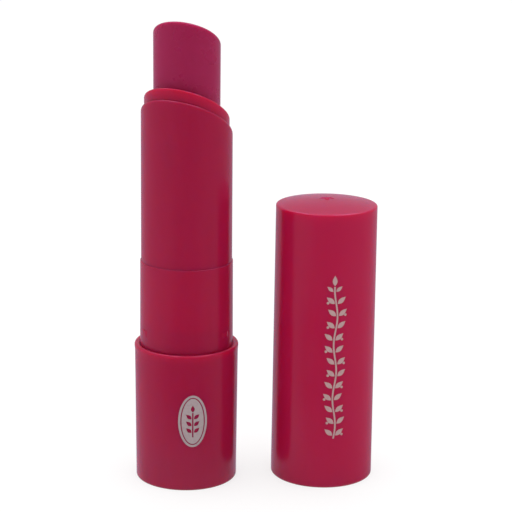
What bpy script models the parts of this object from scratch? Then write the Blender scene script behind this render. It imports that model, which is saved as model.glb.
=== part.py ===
"""Twist-up lipstick with its cap standing beside it.

Lengths are in metres and +Z is up. The origin is the middle of the base's underside, on the axis of
the stick. The bullet is shown fully raised. Turning the barrel on the base runs two lugs of the
carrier cup down a double helix, so that the bullet sinks into the guide tube.
"""

import math

import bmesh
import bpy
from mathutils import Matrix

# Bullet of lipstick
BULLET_RADIUS = 0.00605
BULLET_REVEAL = 0.01282
BULLET_TILT = math.radians(29.0)
BULLET_TURN = math.radians(73.8)
BULLET_EDGE = 0.00071
BULLET_FOOT_CHAMFER = 0.0006

# Carrier cup with its two lugs
CUP_GRIP_GAP = 0.00007
CUP_WALL = 0.00038
CUP_FLOOR = 0.0010
CUP_HEIGHT = 0.0120
CUP_INSET = 0.00145
CUP_EDGE = 0.00012
LUG_RADIUS = 0.00095
LUG_RISE = 0.0016
LUG_ROOT = 0.0002
LUG_TURN = math.radians(20.0)
LUG_COUNT = 2

# Screw motion
TRAVEL = 0.0200
TURNS = 1.5
RUNNING_GAP = 0.00008
LUG_GAP = 0.00025
END_GAP = 0.0003

# Guide tube, slotted for the lugs
GUIDE_WALL = 0.00048
GUIDE_RISE = 0.00232
GUIDE_HEAD_EDGE = 0.0004
GUIDE_BORE_EDGE = 0.00012
GUIDE_NECK_STEP = 0.00055
CLAW_HOOK = 0.0003
CLAW_LIP = 0.0005
CLAW_TAPER = 0.0011
CLAW_SLIT = 0.0012
CLAW_SLIT_DEPTH = 0.0027
CLAW_COUNT = 4

# Brake ring
BRAKE_GROOVE_DEPTH = 0.00055
BRAKE_GROOVE_WIDTH = 0.0008
BRAKE_GROOVE_RISE = 0.0037
BRAKE_GAP = 0.00004

# Spiral sleeve with its double helix
SPIRAL_WALL = 0.00054
SPIRAL_TOP_LAND = 0.0022
SPIRAL_FOOT_LAND = 0.0050
SPIRAL_FLANGE_HEIGHT = 0.0016
SPIRAL_FLANGE_STEP = 0.00039
SPIRAL_EDGE = 0.0001
SPIRAL_KEY_COUNT = 3
SPIRAL_KEY_WIDTH = 0.0012
SPIRAL_KEY_HEIGHT = 0.0025
SPIRAL_KEY_STEP = 0.0003

# Barrel, the slanted outer tube
SHELL_GAP = 0.00012
BARREL_WALL = 0.000603
BARREL_DRAFT = 0.000078
BARREL_LENGTH = 0.02607
BARREL_MOUTH_EDGE = 0.00038
BARREL_BORE_EDGE = 0.00008
BARREL_FOOT_EDGE = 0.00008
MOUTH_TILT = math.radians(30.4)
MOUTH_TURN = math.radians(67.5)
HEAD_BEAD = 0.0001
HEAD_BEAD_RISE = 0.0024
HEAD_KEY_WIDTH = 0.0014
HEAD_KEY_HEIGHT = 0.0060
HEAD_KEY_STEP = 0.00028

# Collar that carries the cap
COLLAR_STEP = 0.000161
COLLAR_DRAFT = 0.000089
COLLAR_REVEAL = 0.01575
COLLAR_EDGE = 0.0001
COLLAR_FOOT_CHAMFER = 0.0004
COLLAR_SNAP = 0.00018
COLLAR_SNAP_RISE = 0.0034
COLLAR_FLANGE_CATCH = 0.00012
SEAM_GAP = 0.00015
NUB_COUNT = 3
NUB_TURN = math.radians(-31.3)
NUB_WIDTH = 0.0021
NUB_HEIGHT = 0.0010
NUB_STAND = 0.00009
NUB_RISE = 0.00267
RIB_COUNT = 9
RIB_WIDTH = 0.0008
RIB_HEIGHT = 0.0150
RIB_ROOT = 0.0002
PRESS_GAP = 0.00005

# Base sleeve, the outer shell of the foot
SLEEVE_GAP = 0.00040
SLEEVE_WALL = 0.000572
SLEEVE_DRAFT = 0.000163
SLEEVE_HEIGHT = 0.02612
SLEEVE_FLOOR = 0.0011
SLEEVE_RIM_EDGE = 0.00028
SLEEVE_BORE_EDGE = 0.00012
SLEEVE_FOOT_EDGE = 0.00016
SLEEVE_FLOOR_FILLET = 0.0005
SEAT_GAP = 0.0003

# Cap, standing on its mouth
CAP_GAP = 0.00010
CAP_WALL = 0.00085
CAP_DRAFT = 0.000233
CAP_HEIGHT = 0.05218
CAP_DOME = 0.00095
CAP_ROOF = 0.0010
CAP_MOUTH_EDGE = 0.00012
CAP_TOP_EDGE = 0.00036
CAP_ROOF_FILLET = 0.0008
CAP_CATCH = 0.00006
CAP_CATCH_RISE = 0.0017
CAP_CATCH_HEIGHT = 0.0008
GATE_RADIUS = 0.0011
GATE_DEPTH = 0.00012
GATE_NUB_RADIUS = 0.0005
GATE_NUB_HEIGHT = 0.0003
CAP_STANDOFF = 0.006617
CAP_BEARING = math.radians(5.18)

# Mesh fineness and the one overrun of every cutter
SHELL_FACETS = 52
WORKS_FACETS = 40
RING_FACETS = 32
RING_SECTION_FACETS = 8
LUG_FACETS = 12
EDGE_STEPS = 2
BULLET_EDGE_STEPS = 4
SLOT_END_STEPS = 4
CUT_OVERRUN = 0.0004
WELD_DISTANCE = 0.0000001
SMOOTH_ANGLE = math.radians(35.0)

# Colours as sRGB hex values
SHELL_COLOUR = "951F3D"
WORKS_COLOUR = "E9E4DC"
BULLET_COLOUR = "9A2447"
RUBBER_COLOUR = "2B2B2D"

# Radii, worked out from the bullet outwards
cup_bore = BULLET_RADIUS + CUP_GRIP_GAP
cup_radius = cup_bore + CUP_WALL
guide_bore = cup_radius + RUNNING_GAP
guide_radius = guide_bore + GUIDE_WALL
guide_neck_bore = guide_bore - GUIDE_NECK_STEP
spiral_bore = guide_radius + RUNNING_GAP
spiral_radius = spiral_bore + SPIRAL_WALL
shell_bore = spiral_radius + SHELL_GAP
guide_head_radius = shell_bore - RUNNING_GAP
barrel_foot_radius = shell_bore + BARREL_WALL
barrel_mouth_radius = barrel_foot_radius - BARREL_DRAFT
collar_top_radius = barrel_foot_radius + COLLAR_STEP
collar_radius = collar_top_radius + COLLAR_DRAFT
flange_radius = spiral_radius + SPIRAL_FLANGE_STEP
collar_low_bore = flange_radius + RUNNING_GAP
sleeve_rim_bore = collar_radius + SLEEVE_GAP
sleeve_rim_radius = sleeve_rim_bore + SLEEVE_WALL
sleeve_foot_radius = sleeve_rim_radius - SLEEVE_DRAFT
sleeve_foot_bore = sleeve_rim_bore - SLEEVE_DRAFT
cap_mouth_bore = collar_radius + CAP_GAP
cap_mouth_radius = cap_mouth_bore + CAP_WALL
cap_top_radius = cap_mouth_radius - CAP_DRAFT
cap_top_bore = cap_mouth_bore - CAP_DRAFT

# Heights along the stick
seam_height = SLEEVE_HEIGHT + COLLAR_REVEAL
barrel_foot_height = seam_height + SEAM_GAP
barrel_mouth_height = seam_height + BARREL_LENGTH
guide_mouth_height = barrel_mouth_height + GUIDE_RISE
bullet_tip_height = guide_mouth_height + BULLET_REVEAL
cup_rim_height = guide_mouth_height - math.tan(MOUTH_TILT) * guide_bore - CUP_INSET
cup_foot_height = cup_rim_height - CUP_HEIGHT
lug_height = cup_foot_height + LUG_RISE
slot_half_width = LUG_RADIUS + LUG_GAP
slot_top_height = lug_height + slot_half_width
slot_foot_height = lug_height - TRAVEL - slot_half_width
spiral_top_height = slot_top_height + SPIRAL_TOP_LAND
flange_foot_height = slot_foot_height - SPIRAL_FOOT_LAND
flange_top_height = flange_foot_height + SPIRAL_FLANGE_HEIGHT
collar_shoulder_height = flange_top_height + RUNNING_GAP
guide_head_height = spiral_top_height + END_GAP
guide_neck_height = cup_foot_height - TRAVEL - END_GAP
claw_top_height = flange_foot_height - RUNNING_GAP
claw_foot_height = claw_top_height - CLAW_LIP - CLAW_TAPER
brake_groove_height = claw_foot_height + BRAKE_GROOVE_RISE
head_bead_height = guide_head_height + HEAD_BEAD_RISE
collar_foot_height = SLEEVE_FLOOR + SEAT_GAP
collar_snap_height = collar_foot_height + COLLAR_SNAP_RISE
cap_reach = sleeve_rim_radius + CAP_STANDOFF + cap_mouth_radius


def linear_colour(srgb_hex):
    """Turns an sRGB hex value into the linear colour that a shader takes."""
    channels = [int(srgb_hex[i:i + 2], 16) / 255 for i in (0, 2, 4)]
    linear = [c / 12.92 if c <= 0.04045 else ((c + 0.055) / 1.055) ** 2.4 for c in channels]
    return (*linear, 1.0)


def make_finish(name, srgb_hex, roughness):
    """A Principled material of one colour, not metallic."""
    finish = bpy.data.materials.new(name)
    finish.use_nodes = True
    shader = finish.node_tree.nodes["Principled BSDF"]
    shader.inputs["Base Color"].default_value = linear_colour(srgb_hex)
    shader.inputs["Roughness"].default_value = roughness
    shader.inputs["Metallic"].default_value = 0.0
    finish.diffuse_color = linear_colour(srgb_hex)
    return finish


def arc(centre_radius, centre_height, edge, start, end, steps=EDGE_STEPS):
    """Points of a round edge in the radius and height plane, from angle start to end in degrees."""
    points = []
    for i in range(steps + 1):
        angle = math.radians(start + (end - start) * i / steps)
        points.append((centre_radius + edge * math.cos(angle), centre_height + edge * math.sin(angle)))
    return points


def between(low, high, share):
    """The value at a share of the way from low to high."""
    return low + (high - low) * share


def revolve(outline, facets, on_axis):
    """Turns an outline of radius and height points into a closed solid about +Z."""
    mesh = bmesh.new()
    corners = [mesh.verts.new((radius, 0, height)) for radius, height in outline]
    sides = [mesh.edges.new(pair) for pair in zip(corners, corners[1:])]
    if not on_axis:
        sides.append(mesh.edges.new((corners[-1], corners[0])))
    bmesh.ops.spin(
        mesh,
        geom=corners + sides,
        cent=(0, 0, 0),
        axis=(0, 0, 1),
        angle=math.tau,
        steps=facets,
        use_merge=True,
    )
    bmesh.ops.remove_doubles(mesh, verts=mesh.verts, dist=WELD_DISTANCE)
    bmesh.ops.recalc_face_normals(mesh, faces=mesh.faces)
    return mesh


def slant_above(mesh, limit, tilt, turn):
    """Shears all points above a height, so that the level end there falls towards the azimuth turn."""
    shear = Matrix.Identity(4)
    shear[2][0] = -math.tan(tilt) * math.cos(turn)
    shear[2][1] = -math.tan(tilt) * math.sin(turn)
    ends = [vert for vert in mesh.verts if vert.co.z > limit]
    bmesh.ops.transform(mesh, matrix=shear, verts=ends)


def add_block(mesh, reach, width, span, turn):
    """Adds a block that points away from the axis: reach and span are (low, high) radius and height."""
    size = (reach[1] - reach[0], width, span[1] - span[0])
    middle = ((reach[0] + reach[1]) / 2, 0, (span[0] + span[1]) / 2)
    place = Matrix.Rotation(turn, 4, "Z") @ Matrix.Translation(middle) @ Matrix.Diagonal((*size, 1))
    bmesh.ops.create_cube(mesh, size=1, matrix=place)


def add_pin(mesh, reach, radius, height, turn):
    """Adds a round pin that points away from the axis, with reach as its (low, high) radius."""
    length = reach[1] - reach[0]
    middle = ((reach[0] + reach[1]) / 2, 0, height)
    lay_down = Matrix.Rotation(math.pi / 2, 4, "Y")
    place = Matrix.Rotation(turn, 4, "Z") @ Matrix.Translation(middle) @ lay_down
    bmesh.ops.create_cone(
        mesh,
        cap_ends=True,
        segments=LUG_FACETS,
        radius1=radius,
        radius2=radius,
        depth=length,
        matrix=place,
    )


def place_object(name, mesh, parent, finish=None):
    """Puts a mesh into the scene as a smooth-shaded object under an empty."""
    data = bpy.data.meshes.new(name)
    mesh.to_mesh(data)
    mesh.free()
    data.shade_smooth()
    data.set_sharp_from_angle(angle=SMOOTH_ANGLE)
    thing = bpy.data.objects.new(name, data)
    bpy.context.scene.collection.objects.link(thing)
    thing.parent = parent
    if finish:
        data.materials.append(finish)
    return thing


def combine(target, name, mesh, operation):
    """Cuts a tool shape out of an object, or joins it on."""
    tool = place_object(name, mesh, target.parent)
    tool.display_type = "WIRE"
    tool.hide_render = True
    step = target.modifiers.new(name, "BOOLEAN")
    step.operation = operation
    step.solver = "EXACT"
    step.object = tool


def add_empty(name, parent=None, place=(0, 0, 0)):
    """An empty that stands for a fixed frame or a joint's axis."""
    empty = bpy.data.objects.new(name, None)
    bpy.context.scene.collection.objects.link(empty)
    empty.parent = parent
    empty.location = place
    return empty


def build_base_sleeve(parent, finish):
    """The outer shell of the foot: a drafted cup with a flat floor and a rounded rim."""
    fillet_bore = between(sleeve_foot_bore, sleeve_rim_bore, SLEEVE_FLOOR / SLEEVE_HEIGHT)
    snap_bore = between(sleeve_foot_bore, sleeve_rim_bore, collar_snap_height / SLEEVE_HEIGHT)
    outline = [(0, 0)]
    outline += arc(sleeve_foot_radius - SLEEVE_FOOT_EDGE, SLEEVE_FOOT_EDGE, SLEEVE_FOOT_EDGE, -90, 0)
    rim_centre = SLEEVE_HEIGHT - SLEEVE_RIM_EDGE
    outline += arc(sleeve_rim_radius - SLEEVE_RIM_EDGE, rim_centre, SLEEVE_RIM_EDGE, 0, 90, EDGE_STEPS + 1)
    bore_centre = SLEEVE_HEIGHT - SLEEVE_BORE_EDGE
    outline += arc(sleeve_rim_bore + SLEEVE_BORE_EDGE, bore_centre, SLEEVE_BORE_EDGE, 90, 180)
    outline.append((snap_bore, collar_snap_height + 2 * COLLAR_SNAP))
    outline.append((snap_bore + COLLAR_SNAP, collar_snap_height))
    outline.append((snap_bore, collar_snap_height - 2 * COLLAR_SNAP))
    fillet_height = SLEEVE_FLOOR + SLEEVE_FLOOR_FILLET
    outline += arc(fillet_bore - SLEEVE_FLOOR_FILLET, fillet_height, SLEEVE_FLOOR_FILLET, 0, -90)
    outline.append((0, SLEEVE_FLOOR))
    place_object("base_sleeve", revolve(outline, SHELL_FACETS, True), parent, finish)


def build_collar(parent, finish):
    """The inner shell: pressed in the sleeve by ribs and a snap bead, it carries three nubs that hold the cap."""
    press_radius = between(sleeve_foot_bore, sleeve_rim_bore, collar_foot_height / SLEEVE_HEIGHT) - PRESS_GAP
    snap_bore = between(sleeve_foot_bore, sleeve_rim_bore, collar_snap_height / SLEEVE_HEIGHT)
    snap_radius = snap_bore + COLLAR_SNAP - PRESS_GAP
    catch_height = flange_foot_height - RUNNING_GAP
    outline = [(collar_low_bore + COLLAR_EDGE, collar_foot_height)]
    outline.append((collar_radius - COLLAR_FOOT_CHAMFER, collar_foot_height))
    outline.append((collar_radius, collar_foot_height + COLLAR_FOOT_CHAMFER))
    outline.append((collar_radius, collar_snap_height - 2 * COLLAR_SNAP))
    outline.append((snap_radius, collar_snap_height))
    outline.append((collar_radius, collar_snap_height + 2 * COLLAR_SNAP))
    outline.append((collar_radius, SLEEVE_HEIGHT))
    outline += arc(collar_top_radius - COLLAR_EDGE, seam_height - COLLAR_EDGE, COLLAR_EDGE, 0, 90)
    outline.append((shell_bore + COLLAR_EDGE, seam_height))
    outline.append((shell_bore, seam_height - COLLAR_EDGE))
    outline.append((shell_bore, collar_shoulder_height))
    outline.append((collar_low_bore, collar_shoulder_height))
    outline.append((collar_low_bore, catch_height))
    outline.append((collar_low_bore - COLLAR_FLANGE_CATCH, catch_height - COLLAR_FLANGE_CATCH))
    outline.append((collar_low_bore, catch_height - 4 * COLLAR_FLANGE_CATCH))
    outline.append((collar_low_bore, collar_foot_height + COLLAR_EDGE))
    collar = place_object("collar", revolve(outline, SHELL_FACETS, False), parent, finish)

    ribs = bmesh.new()
    rib_foot = collar_snap_height + 3 * COLLAR_SNAP
    for i in range(RIB_COUNT):
        turn = math.tau * i / RIB_COUNT
        add_block(ribs, (collar_radius - RIB_ROOT, press_radius), RIB_WIDTH, (rib_foot, rib_foot + RIB_HEIGHT), turn)
    combine(collar, "collar_rib_tool", ribs, "UNION")

    nubs = bmesh.new()
    nub_middle = SLEEVE_HEIGHT + NUB_RISE
    nub_span = (nub_middle - NUB_HEIGHT / 2, nub_middle + NUB_HEIGHT / 2)
    for i in range(NUB_COUNT):
        turn = NUB_TURN + math.tau * i / NUB_COUNT
        add_block(nubs, (collar_radius - RIB_ROOT, collar_radius + NUB_STAND), NUB_WIDTH, nub_span, turn)
    outer_edges = [
        edge for edge in nubs.edges
        if all(math.hypot(vert.co.x, vert.co.y) > collar_radius for vert in edge.verts)
    ]
    bmesh.ops.bevel(nubs, geom=outer_edges, offset=NUB_STAND, segments=1, affect="EDGES")
    combine(collar, "cap_nub_tool", nubs, "UNION")

    keyways = bmesh.new()
    key_reach = (shell_bore - CUT_OVERRUN, spiral_radius + SPIRAL_KEY_STEP + RUNNING_GAP)
    key_top = flange_top_height + SPIRAL_KEY_HEIGHT + END_GAP
    for i in range(SPIRAL_KEY_COUNT):
        turn = math.tau * i / SPIRAL_KEY_COUNT
        key_width = SPIRAL_KEY_WIDTH + 2 * RUNNING_GAP
        add_block(keyways, key_reach, key_width, (collar_shoulder_height - CUT_OVERRUN, key_top), turn)
    combine(collar, "spiral_keyway_tool", keyways, "DIFFERENCE")


def helical_slot(start_turn, half_height):
    """A band that winds down the spiral sleeve's wall, with round ends, to cut one slot."""
    lead = TRAVEL / TURNS
    mean_radius = (spiral_bore + spiral_radius) / 2
    end_angle = half_height / mean_radius
    sweep = math.tau * TURNS
    steps = round(WORKS_FACETS * TURNS)
    stations = []
    for i in range(SLOT_END_STEPS):
        angle = math.pi / 2 * (i + 0.5) / SLOT_END_STEPS
        stations.append((-end_angle * math.cos(angle), math.sin(angle)))
    stations += [(sweep * i / steps, 1.0) for i in range(steps + 1)]
    for i in range(SLOT_END_STEPS):
        angle = math.pi / 2 * (i + 0.5) / SLOT_END_STEPS
        stations.append((sweep + end_angle * math.sin(angle), math.cos(angle)))
    reach = (spiral_bore - CUT_OVERRUN, spiral_radius + CUT_OVERRUN)
    band = bmesh.new()
    rings = []
    for angle, opening in stations:
        turn = start_turn + angle
        middle = lug_height - lead * angle / math.tau
        half = half_height * opening
        corners = ((reach[0], -half), (reach[1], -half), (reach[1], half), (reach[0], half))
        rings.append([
            band.verts.new((radius * math.cos(turn), radius * math.sin(turn), middle + rise))
            for radius, rise in corners
        ])
    for near, far in zip(rings, rings[1:]):
        for i in range(len(near)):
            j = (i + 1) % len(near)
            band.faces.new((near[i], near[j], far[j], far[i]))
    band.faces.new(rings[0])
    band.faces.new(rings[-1])
    bmesh.ops.recalc_face_normals(band, faces=band.faces)
    return band


def build_spiral_sleeve(parent, finish):
    """The cam: a thin sleeve with two helical slots right through its wall, flanged and keyed at its foot."""
    outline = [(spiral_bore + SPIRAL_EDGE, flange_foot_height)]
    outline.append((flange_radius - SPIRAL_EDGE, flange_foot_height))
    outline.append((flange_radius, flange_foot_height + SPIRAL_EDGE))
    outline.append((flange_radius, flange_top_height))
    outline.append((spiral_radius, flange_top_height))
    outline.append((spiral_radius, spiral_top_height - SPIRAL_EDGE))
    outline.append((spiral_radius - SPIRAL_EDGE, spiral_top_height))
    outline.append((spiral_bore, spiral_top_height))
    outline.append((spiral_bore, flange_foot_height + SPIRAL_EDGE))
    sleeve = place_object("spiral_sleeve", revolve(outline, WORKS_FACETS, False), parent, finish)

    keys = bmesh.new()
    key_reach = (spiral_radius - SPIRAL_WALL / 2, spiral_radius + SPIRAL_KEY_STEP)
    key_span = (flange_top_height - SPIRAL_EDGE, flange_top_height + SPIRAL_KEY_HEIGHT)
    for i in range(SPIRAL_KEY_COUNT):
        add_block(keys, key_reach, SPIRAL_KEY_WIDTH, key_span, math.tau * i / SPIRAL_KEY_COUNT)
    combine(sleeve, "spiral_key_tool", keys, "UNION")

    lead_angle = math.atan(TRAVEL / (TURNS * math.tau * spiral_bore))
    half_height = slot_half_width / math.cos(lead_angle)
    for i in range(LUG_COUNT):
        band = helical_slot(LUG_TURN + math.tau * i / LUG_COUNT, half_height)
        combine(sleeve, f"helical_slot_tool_{i + 1}", band, "DIFFERENCE")


def build_guide_tube(parent, finish):
    """The inner tube: a thick slanted head, two straight slots for the lugs, and snap claws at its foot."""
    hook_radius = spiral_bore + CLAW_HOOK
    groove_radius = guide_radius - BRAKE_GROOVE_DEPTH
    groove_top = brake_groove_height + BRAKE_GROOVE_WIDTH
    mouth_edge = guide_mouth_height - GUIDE_HEAD_EDGE
    outline = [(guide_neck_bore, claw_foot_height)]
    outline.append((guide_radius - CLAW_HOOK, claw_foot_height))
    outline.append((hook_radius, claw_foot_height + CLAW_TAPER))
    outline.append((hook_radius, claw_top_height))
    outline.append((guide_radius, claw_top_height))
    outline.append((guide_radius, brake_groove_height))
    outline.append((groove_radius, brake_groove_height))
    outline.append((groove_radius, groove_top))
    outline.append((guide_radius, groove_top))
    outline.append((guide_radius, guide_head_height))
    outline.append((guide_head_radius, guide_head_height))
    outline.append((guide_head_radius, head_bead_height - 2 * HEAD_BEAD))
    outline.append((guide_head_radius - HEAD_BEAD, head_bead_height))
    outline.append((guide_head_radius, head_bead_height + 2 * HEAD_BEAD))
    outline += arc(guide_head_radius - GUIDE_HEAD_EDGE, mouth_edge, GUIDE_HEAD_EDGE, 0, 90, EDGE_STEPS + 1)
    bore_edge = guide_mouth_height - GUIDE_BORE_EDGE
    outline += arc(guide_bore + GUIDE_BORE_EDGE, bore_edge, GUIDE_BORE_EDGE, 90, 180)
    outline.append((guide_bore, guide_neck_height))
    outline.append((guide_neck_bore, guide_neck_height - GUIDE_NECK_STEP))
    mesh = revolve(outline, WORKS_FACETS, False)
    slant_above(mesh, mouth_edge - GUIDE_HEAD_EDGE, MOUTH_TILT, MOUTH_TURN)
    tube = place_object("guide_tube", mesh, parent, finish)

    key = bmesh.new()
    key_reach = (guide_radius, guide_head_radius + HEAD_KEY_STEP)
    key_foot = guide_head_height + HEAD_BEAD
    add_block(key, key_reach, HEAD_KEY_WIDTH, (key_foot, key_foot + HEAD_KEY_HEIGHT), MOUTH_TURN + math.pi)
    combine(tube, "head_key_tool", key, "UNION")

    slots = bmesh.new()
    slot_reach = (guide_neck_bore - CUT_OVERRUN, guide_radius + CUT_OVERRUN)
    for i in range(LUG_COUNT):
        turn = LUG_TURN + math.tau * i / LUG_COUNT
        add_block(slots, slot_reach, 2 * slot_half_width, (slot_foot_height, slot_top_height), turn)
    combine(tube, "lug_slot_tool", slots, "DIFFERENCE")

    slits = bmesh.new()
    slit_reach = (guide_neck_bore - CUT_OVERRUN, hook_radius + CUT_OVERRUN)
    slit_span = (claw_foot_height - CUT_OVERRUN, claw_foot_height + CLAW_SLIT_DEPTH)
    for i in range(CLAW_COUNT):
        add_block(slits, slit_reach, CLAW_SLIT, slit_span, LUG_TURN + math.tau * (i + 0.5) / CLAW_COUNT)
    combine(tube, "claw_slit_tool", slits, "DIFFERENCE")


def build_brake_ring(parent, finish):
    """The round ring that rubs in the spiral sleeve's bore, so that the bullet stays where it is put."""
    groove_radius = guide_radius - BRAKE_GROOVE_DEPTH
    section = (spiral_bore - groove_radius) / 2 - BRAKE_GAP
    middle_radius = (spiral_bore + groove_radius) / 2
    middle_height = brake_groove_height + BRAKE_GROOVE_WIDTH / 2
    outline = arc(middle_radius, middle_height, section, 0, 360, RING_SECTION_FACETS)[:-1]
    place_object("brake_ring", revolve(outline, RING_FACETS, False), parent, finish)


def build_barrel(parent, finish):
    """The outer tube: slightly drafted, with a slanted mouth, and with a snap bead and a keyway in its bore."""
    mouth_edge = barrel_mouth_height - BARREL_MOUTH_EDGE
    bore_edge = barrel_mouth_height - BARREL_BORE_EDGE
    bead_radius = shell_bore - HEAD_BEAD
    outline = [(shell_bore + BARREL_FOOT_EDGE, barrel_foot_height)]
    outline.append((barrel_foot_radius - BARREL_FOOT_EDGE, barrel_foot_height))
    outline.append((barrel_foot_radius, barrel_foot_height + BARREL_FOOT_EDGE))
    outline += arc(
        barrel_mouth_radius - BARREL_MOUTH_EDGE, mouth_edge, BARREL_MOUTH_EDGE, 0, 90, EDGE_STEPS + 1
    )
    outline += arc(shell_bore + BARREL_BORE_EDGE, bore_edge, BARREL_BORE_EDGE, 90, 180)
    outline.append((shell_bore, head_bead_height + 2 * HEAD_BEAD))
    outline.append((bead_radius, head_bead_height))
    outline.append((shell_bore, head_bead_height - 2 * HEAD_BEAD))
    outline.append((shell_bore, barrel_foot_height + BARREL_FOOT_EDGE))
    mesh = revolve(outline, SHELL_FACETS, False)
    slant_above(mesh, mouth_edge - BARREL_MOUTH_EDGE, MOUTH_TILT, MOUTH_TURN)
    barrel = place_object("barrel", mesh, parent, finish)

    keyway = bmesh.new()
    key_reach = (shell_bore - CUT_OVERRUN, guide_head_radius + HEAD_KEY_STEP + RUNNING_GAP)
    key_span = (guide_head_height - END_GAP, guide_head_height + HEAD_BEAD + HEAD_KEY_HEIGHT + END_GAP)
    add_block(keyway, key_reach, HEAD_KEY_WIDTH + 2 * RUNNING_GAP, key_span, MOUTH_TURN + math.pi)
    combine(barrel, "head_keyway_tool", keyway, "DIFFERENCE")


def build_carrier_cup(parent, finish):
    """The cup that holds the bullet, with two round lugs that reach through the slots into the helix."""
    outline = [(0, cup_foot_height)]
    outline.append((cup_radius - CUP_EDGE, cup_foot_height))
    outline.append((cup_radius, cup_foot_height + CUP_EDGE))
    outline.append((cup_radius, cup_rim_height - CUP_EDGE))
    outline.append((cup_radius - CUP_EDGE, cup_rim_height))
    outline.append((cup_bore + CUP_EDGE, cup_rim_height))
    outline.append((cup_bore, cup_rim_height - CUP_EDGE))
    outline.append((cup_bore, cup_foot_height + CUP_FLOOR))
    outline.append((0, cup_foot_height + CUP_FLOOR))
    cup = place_object("carrier_cup", revolve(outline, WORKS_FACETS, True), parent, finish)

    lugs = bmesh.new()
    lug_reach = (cup_radius - LUG_ROOT, spiral_radius - RUNNING_GAP)
    for i in range(LUG_COUNT):
        add_pin(lugs, lug_reach, LUG_RADIUS, lug_height, LUG_TURN + math.tau * i / LUG_COUNT)
    combine(cup, "lug_tool", lugs, "UNION")


def build_bullet(parent, finish):
    """The bullet: a round bar whose tip is cut to a slanted flat face with a soft edge."""
    foot_height = cup_foot_height + CUP_FLOOR + END_GAP
    edge_height = bullet_tip_height - BULLET_EDGE
    outline = [(0, foot_height)]
    outline.append((BULLET_RADIUS - BULLET_FOOT_CHAMFER, foot_height))
    outline.append((BULLET_RADIUS, foot_height + BULLET_FOOT_CHAMFER))
    outline += arc(BULLET_RADIUS - BULLET_EDGE, edge_height, BULLET_EDGE, 0, 90, BULLET_EDGE_STEPS)
    outline.append((0, bullet_tip_height))
    mesh = revolve(outline, WORKS_FACETS, True)
    slant_above(mesh, edge_height - BULLET_EDGE, BULLET_TILT, BULLET_TURN)
    place_object("bullet", mesh, parent, finish)


def build_cap(parent, finish):
    """The cap: a drafted shell with a low dome, a moulding gate mark on top and a catch bead in its mouth."""
    catch_top = CAP_CATCH_RISE + CAP_CATCH_HEIGHT
    catch_middle = CAP_CATCH_RISE + CAP_CATCH_HEIGHT / 2
    top_edge = CAP_HEIGHT - CAP_TOP_EDGE
    roof_height = CAP_HEIGHT - CAP_ROOF
    dome_radius = cap_top_radius - CAP_TOP_EDGE
    dome_shares = (0.78, 0.52, 0.28)
    gate_floor = CAP_HEIGHT + CAP_DOME - GATE_DEPTH
    outline = [(cap_mouth_bore + CAP_MOUTH_EDGE, 0)]
    outline += arc(cap_mouth_radius - CAP_MOUTH_EDGE, CAP_MOUTH_EDGE, CAP_MOUTH_EDGE, -90, 0)
    outline += arc(cap_top_radius - CAP_TOP_EDGE, top_edge, CAP_TOP_EDGE, 0, 90, EDGE_STEPS + 1)
    for share in dome_shares:
        outline.append((dome_radius * share, CAP_HEIGHT + CAP_DOME * (1 - share ** 2)))
    outline.append((GATE_RADIUS, CAP_HEIGHT + CAP_DOME))
    outline.append((GATE_RADIUS - GATE_DEPTH, gate_floor))
    outline.append((GATE_NUB_RADIUS, gate_floor))
    outline.append((GATE_NUB_RADIUS, gate_floor + GATE_NUB_HEIGHT))
    outline.append((0, gate_floor + GATE_NUB_HEIGHT))
    roof_edge = roof_height - CAP_ROOF_FILLET
    inside = [(0, roof_height)]
    inside += arc(cap_top_bore - CAP_ROOF_FILLET, roof_edge, CAP_ROOF_FILLET, 90, 0)
    inside.append((cap_mouth_bore, catch_top))
    inside.append((cap_mouth_bore - CAP_CATCH, catch_middle))
    inside.append((cap_mouth_bore, CAP_CATCH_RISE))
    inside.append((cap_mouth_bore, CAP_MOUTH_EDGE))
    place_object("cap", revolve(inside + outline, SHELL_FACETS, True), parent, finish)


def build_lipstick():
    """Clears the scene and builds every piece under the empty of the body that it moves with."""
    for thing in list(bpy.data.objects):
        bpy.data.objects.remove(thing, do_unlink=True)
    shell = make_finish("moulded_crimson_plastic", SHELL_COLOUR, 0.28)
    works = make_finish("natural_acetal", WORKS_COLOUR, 0.45)
    wax = make_finish("lipstick_wax", BULLET_COLOUR, 0.42)
    rubber = make_finish("silicone_rubber", RUBBER_COLOUR, 0.6)
    base = add_empty("base_frame")
    twist = add_empty("twist_axis", base)
    rise = add_empty("rise_axis", twist)
    cap_place = (cap_reach * math.cos(CAP_BEARING), cap_reach * math.sin(CAP_BEARING), 0)
    cap_axis = add_empty("cap_axis", base, cap_place)
    build_base_sleeve(base, shell)
    build_collar(base, shell)
    build_spiral_sleeve(base, works)
    build_brake_ring(twist, rubber)
    build_guide_tube(twist, shell)
    build_barrel(twist, shell)
    build_carrier_cup(rise, works)
    build_bullet(rise, wax)
    build_cap(cap_axis, shell)


build_lipstick()
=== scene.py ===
"""Dressed scene of a raised twist-up lipstick, with its cap standing beside it.

Sizes in the classes are in millimetres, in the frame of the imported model: +Z runs up along the
stick and -Y points to the viewer. Meshes are written in metres.
"""

import logging
import math
from abc import ABC, abstractmethod
from dataclasses import dataclass, field
from enum import Enum
from functools import cached_property

import bmesh
import bpy
from mathutils import Matrix


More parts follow.
